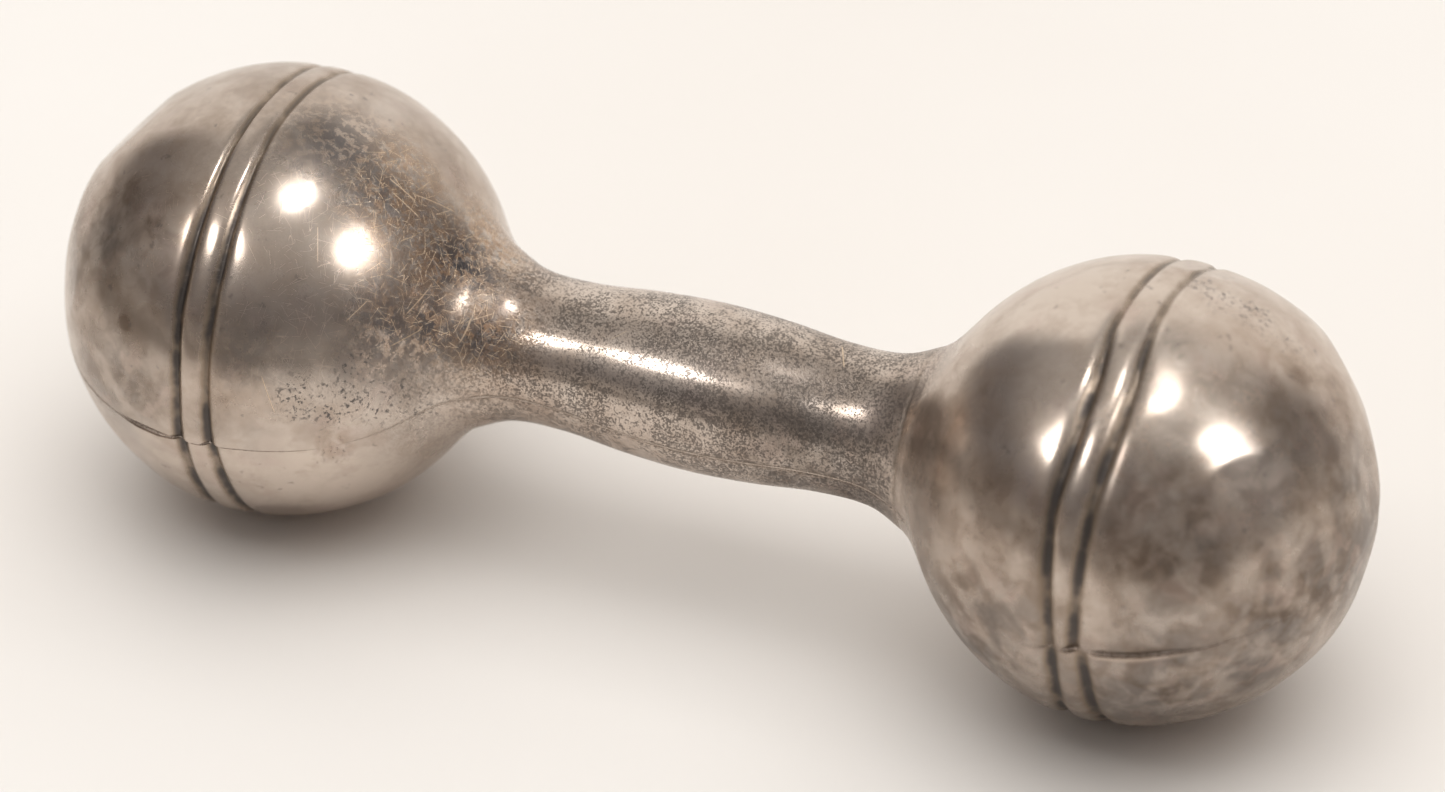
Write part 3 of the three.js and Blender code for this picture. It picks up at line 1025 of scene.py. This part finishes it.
    # relief: depth of each layer in mm
    height = thick * -0.004
    height += pit * -0.0022
    height += specks * -0.0006
    height += grain.swing(by=0.0011)
    height += fine.swing(by=0.0010)
    bump = net.bump(height)

    # a sharp reflection mixed with one 0.27 rougher, more so in haze and on the grip
    blurred = 0.17 + tarnish * 0.12 + (haze * 0.36 + speck * 0.24)
    sharp = net.metal(base, rough, bump)
    soft = net.metal(base, rough + 0.27, bump)
    net.finish("Material", net.value("MixShader", {0: blurred, 1: sharp, 2: soft}))
    return material


# ---------------------------------------------------------------- solder and steel
def solder_metal():
    material, net = new_material("solder_line")
    light, dark, speck = (0.53, 0.45, 0.39), (0.36, 0.295, 0.25), (0.19, 0.155, 0.13)
    place = net.millimetres()
    broad = net.noise(place, scale=0.9, detail=5, rough=0.7)
    fine = net.noise(place, scale=5, detail=3, rough=0.6)
    base = net.mix(broad.ramp(over=(0.35, 0.65)), light, dark)
    base = net.mix(fine.ramp(over=(0.52, 0.7), to=(0, 0.45)), base, speck)
    bump = net.bump(broad * 0.012 + fine * 0.004)
    rough = fine.ramp(over=(0.3, 0.7), to=(0.22, 0.40))
    net.finish("Material", net.metal(base, rough, bump))
    return material


def shot_metal():
    material, net = new_material("steel_shot")
    light, dark, rust = (0.52, 0.52, 0.53), (0.27, 0.24, 0.22), (0.25, 0.13, 0.07)
    place = net.millimetres()
    broad = net.noise(place, scale=1.2, detail=5, rough=0.7)
    fine = net.noise(place, scale=9, detail=3, rough=0.6)
    base = net.mix(broad.ramp(over=(0.35, 0.7)), light, dark)
    spots = net.noise(place, scale=2.7, detail=4, rough=0.75)
    base = net.mix(spots.ramp(over=(0.58, 0.66), to=(0, 0.7)), base, rust)
    bump = net.bump(broad * 0.02 + fine * 0.004)
    rough = broad.ramp(over=(0.3, 0.7), to=(0.2, 0.5))
    net.finish("Material", net.metal(base, rough, bump))
    return material


# Section of the solder strip: share of its half width across, height above the shell
SOLDER_SECTION = np.array([
    (-1, -0.02), (-0.8, 0.006), (-0.4, 0.024), (0, 0.03), (0.4, 0.024), (0.8, 0.006),
    (1, -0.02), (1, -WALL), (0, -WALL - 0.03), (-1, -WALL),
])
SOLDER_SINK = 0.03
SOLDER_TAPER_R = 3.2  # the strip narrows where the body's radius is below this


def solder_strip():
    """A filled strip along the front seam from left to right, and back along the rear."""
    last = len(STATIONS[0]) - 1
    picked = np.unique(np.append(np.arange(0, last + 1, 2), last))
    order = np.concatenate([picked, picked[-2:0:-1]])
    profile = [values[order][:, None] for values in STATIONS]
    x, radius, norm_x, norm_r = profile
    front = (np.arange(len(order)) < len(picked))[:, None]
    angle = np.where(front, np.interp(x, *SEAM_FRONT), np.interp(x, *SEAM_BACK))
    top = 0.5 * (surface(profile, angle, True)[0] + surface(profile, angle, False)[0])
    outwards = around(norm_x, norm_r, angle)
    turn = np.radians(angle)
    across = np.stack([0 * turn, np.sin(turn), np.cos(turn)], -1)
    across = across * np.where(front, 1, -1)[..., None]
    half = look_up(SOLDER_HALF, x) + 0.012
    half = half * np.clip(radius / SOLDER_TAPER_R, 0.12, 1)
    sideways = (half * SOLDER_SECTION[:, 0])[..., None]
    points = top + across * sideways + outwards * (SOLDER_SECTION[:, 1:] - SOLDER_SINK)
    points = points.reshape(-1, 3) + AXIS

    here = np.arange(len(points)).reshape(len(order), -1)
    after = np.roll(here, -1, axis=0)
    quads = np.stack([here, np.roll(here, -1, 1), np.roll(after, -1, 1), after], -1)
    faces = outward_faces(points, quads.reshape(-1, 4))
    return mesh_object("seam_solder_line", points, faces, {})


def steel_ball(node, number):
    """A ball with a worn band, small flats and dimples, each a little different."""
    low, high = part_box(node)
    centre = (np.array(low) + np.array(high)) / 2
    ball = bmesh.new()
    bmesh.ops.create_icosphere(ball, subdivisions=4, radius=1.0)
    rng = np.random.default_rng(100 + number)
    points = np.array([vert.co[:] for vert in ball.verts])
    points /= np.linalg.norm(points, axis=1, keepdims=True)
    dimples = waves(points * SHOT_R, shortest=0.7, longest=2, count=18, seed=200 + number)
    size = 1.0 - 0.004 * np.abs(dimples)
    size -= 0.006 * hump(points @ unit(rng.normal(size=3)), 0.10)
    points = points * size[:, None]
    for _ in range(4):
        way = unit(rng.normal(size=3))
        over = np.maximum(points @ way - rng.uniform(0.965, 0.985), 0)
        points = points - way * over[:, None]
    for vert, point in zip(ball.verts, points):
        vert.co = Vector(centre + point * (SHOT_R * MM))
    mesh = bpy.data.meshes.new(node + "_shot")
    ball.to_mesh(mesh)
    ball.free()
    smooth_faces(mesh)
    return link_object(node + "_shot", mesh)


# ---------------------------------------------------------------- pieces
upper_half = half_shell("upper_half_shell_silver", True)
upper_silver = silver("tarnished_silver_upper")
fit(upper_half, upper_silver, "upper_half_shell", "silver_body")

lower_half = half_shell("lower_half_shell_silver", False)
# a tone of 1.04 makes the lower half lighter, painted light against the floor's shade it reflects
lower_silver = silver("tarnished_silver_lower", tone=1.04, wear=0.015, marks=False)
fit(lower_half, lower_silver, "lower_half_shell", "silver_body")

fit(solder_strip(), solder_metal(), "seam_solder", "silver_body")

steel = shot_metal()
for number, node in enumerate(sorted(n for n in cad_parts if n.startswith("pellet_"))):
    fit(steel_ball(node, number), steel, node, node)


# ---------------------------------------------------------------- floor
def floor():
    mesh = bpy.data.meshes.new("floor")
    mesh.from_pydata([(-9, -5, 0), (9, -5, 0), (0, 10, 0)], [], [(0, 1, 2)])
    sheet = link_object("floor", mesh)
    material, net = new_material("pale_floor")
    cool, warm, shaded = (0.80, 0.766, 0.732), (0.83, 0.804, 0.776), (0.125, 0.108, 0.094)
    where = net.value("TexCoord", {}, "Object")
    cloud = net.noise(where, scale=6, detail=4, rough=0.5)
    pale = net.mix(cloud.ramp(over=(0.35, 0.65)), cool, warm)
    # reflected in the metal, the floor on the camera's side is in the shade of the room
    turn = net.angle_from(where, azimuth=-105)
    far = net.vec("LENGTH", where).ramp(over=(0.06, 0.24))
    shade = far * turn.ramp(over=degrees(66, 84), to=(1, 0))
    seen = net.value("LightPath", {}, "Is Glossy Ray")
    base = net.mix(shade * seen, pale, shaded)
    inputs = {"Base Color": base, "Roughness": 0.55, "Specular IOR Level": 0.35}
    net.finish("Material", net.value("BsdfPrincipled", inputs))
    mesh.materials.append(material)


floor()

# ---------------------------------------------------------------- light
# name, azimuth, elevation, distance m, width m, height m, radiance, soft share of the rim.
# Lamps with a soft rim show only in the metal; the others light only the floor.
LAMPS = [
    ("softbox_right", -14, 44, 1.5, 0.58, 0.58, 17, 0.8),
    ("softbox_left", -124, 45, 1.5, 0.76, 0.40, 12.5, 0.7),
    ("softbox_top", -40, 83, 1.5, 0.45, 0.29, 19, 0.5),
    ("floor_right", -14, 44, 1.5, 0.7, 0.7, 1.4, 0),
    ("floor_left", -124, 45, 1.5, 0.7, 0.7, 1.4, 0),
    ("floor_top", -40, 83, 1.5, 0.8, 0.8, 1.1, 0),
    ("floor_fill", 0, 90, 3, 4, 4, 1.78, 0),
]
WARM_LIGHT = (1.0, 0.985, 0.96)


def soften(light, soft):
    """Fade the lamp to an ellipse with a soft rim."""
    net = Net(light)
    across = net.value("NewGeometry", {}, "Parametric")
    parts = net.node("SeparateXYZ", {0: across}).outputs
    u, v = Value(net, parts[0]) - 0.5, Value(net, parts[1]) - 0.5
    radius = net.math("SQRT", u * u + v * v)
    strength = radius.ramp(over=(0.5 * (1 - soft), 0.5), to=(1, 0))
    net.finish("Light", net.value("Emission", {"Strength": strength}))


def lamp(name, azimuth, elevation, distance, width, height, radiance, soft):
    """A rectangular area lamp aimed at the rattle."""
    turn, rise = degrees(azimuth, elevation)
    flat = math.cos(rise)
    way = Vector((flat * math.cos(turn), flat * math.sin(turn), math.sin(rise)))
    light = bpy.data.lights.new(name, "AREA")
    light.shape = "RECTANGLE"
    light.size = width
    light.size_y = height
    light.energy = radiance * math.pi * width * height
    light.color = WARM_LIGHT
    if soft > 0:
        soften(light, soft)
    placed = link_object(name, light)
    placed.location = Vector((0, 0, AXIS_Z * MM)) + way * distance
    placed.rotation_euler = (-way).to_track_quat("-Z", "Y").to_euler()
    placed.visible_glossy = soft > 0
    placed.visible_diffuse = soft == 0


for row in LAMPS:
    lamp(*row)


def studio():
    """Pale backdrop behind the rattle, mid ceiling, darker room on the camera's side."""
    world = bpy.data.worlds.new("studio")
    bpy.context.scene.world = world
    net = Net(world)
    horizon, wall, ceiling = (0.42, 0.385, 0.35), (0.140, 0.131, 0.135), (0.41, 0.388, 0.367)
    backdrop = (1.0, 0.955, 0.90)
    way = net.vec("NORMALIZE", net.value("TexCoord", {}, "Generated"))
    turn = net.angle_from(way, azimuth=101)
    rise = net.math("ARCSINE", net.vec("DOT_PRODUCT", way, (0, 0, 1)))
    room = net.mix(rise.ramp(over=degrees(18, 56)), wall, ceiling)
    room = net.mix(rise.ramp(over=degrees(0, 14)), horizon, room)
    drop = turn.ramp(over=degrees(56, 42)) * rise.ramp(over=degrees(67, 44))
    colour = net.mix(drop, room, backdrop)
    net.finish("World", net.value("Background", {"Color": colour, "Strength": 1}))


studio()

# ---------------------------------------------------------------- camera
CAMERA_PLACE = Vector((0.19076, -0.45609, 0.34232 + AXIS_Z * MM))
# the camera's right, up and backward directions
CAMERA_AXES = ((0.9235, 0.3837, 0.0), (-0.2188, 0.5267, 0.8215), (0.3152, -0.7587, 0.5703))

lens = bpy.data.cameras.new("camera")
camera = link_object("camera", lens)
lens.sensor_fit = "HORIZONTAL"
lens.sensor_width = 36.0
lens.lens = 181.87
lens.clip_start = 0.01
lens.clip_end = 20
turned = Matrix(CAMERA_AXES).transposed().to_4x4()
camera.matrix_world = Matrix.Translation(CAMERA_PLACE) @ turned
lens.dof.use_dof = True
focus = link_object("focus_point", None)
focus.location = (0.0029, -0.0039, 0.0212)
lens.dof.focus_object = focus
lens.dof.aperture_fstop = 20
bpy.context.scene.camera = camera

view = bpy.context.scene.view_settings
view.view_transform = "Standard"
view.look = "None"
view.exposure = 0.0
view.gamma = 1.0
